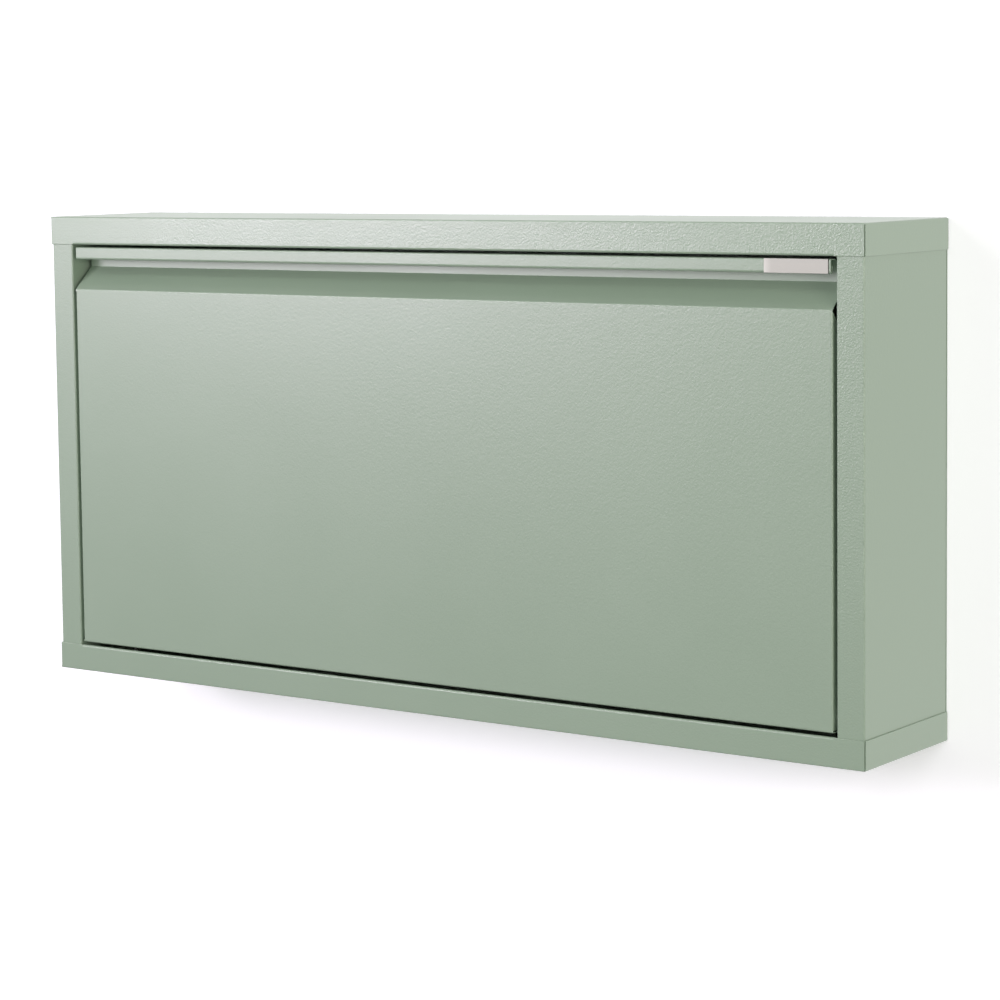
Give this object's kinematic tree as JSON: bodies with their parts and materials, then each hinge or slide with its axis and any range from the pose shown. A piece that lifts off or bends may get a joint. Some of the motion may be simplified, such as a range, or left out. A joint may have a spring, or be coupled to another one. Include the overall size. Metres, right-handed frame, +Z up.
{
  "type": "wall-hung tilt-out cabinet",
  "caption": "Slim wide wall-hung cabinet of folded painted steel whose whole front is a tilt-out flap with a folded finger grip and a shoe bin behind it.",
  "frame": {"origin": "centre of the rear face on the wall, which is the centre of the four wall-screw holes", "axes": "+Z up, +Y into the wall, the front faces -Y, +X to the right seen from the front"},
  "size_m": [0.9, 0.15, 0.45],
  "materials": {
    "sage_paint": "satin sage green powder coat with a fine texture",
    "zinc_steel": "bright zinc-plated steel",
    "nylon": "natural nylon",
    "black_rubber": "matt black rubber",
    "plate_aluminium": "brushed, clear anodised"
  },
  "bodies": {
    "carcass": {"top_cap": "sage_paint", "bottom_cap": "sage_paint", "left_side_panel": "sage_paint", "right_side_panel": "sage_paint", "back_panel": "sage_paint", "top_cap_studs": "zinc_steel", "top_cap_nuts": "zinc_steel", "bottom_cap_studs": "zinc_steel", "bottom_cap_nuts": "zinc_steel", "back_panel_studs": "zinc_steel", "back_panel_nuts": "zinc_steel", "left_pivot_bush": "nylon", "right_pivot_bush": "nylon", "closing_buffers": "black_rubber"},
    "flap": {"flap_front": "sage_paint", "left_cheek": "sage_paint", "right_cheek": "sage_paint", "shoe_tray": "sage_paint", "flap_rivets": "zinc_steel", "tray_rivets": "zinc_steel", "left_pivot_pin": "zinc_steel", "right_pivot_pin": "zinc_steel", "pivot_retainers": "zinc_steel", "left_stop_screw": "zinc_steel", "right_stop_screw": "zinc_steel", "stop_nuts": "zinc_steel", "stop_sleeves": "black_rubber", "label_plate": "plate_aluminium"}
  },
  "joints": [
    {"name": "flap_tilt", "type": "hinge", "parent": "carcass", "child": "flap", "pos_m": [0, -0.1358, -0.1839], "axis": [1, 0, 0], "range_deg": [0, 38]}
  ]
}
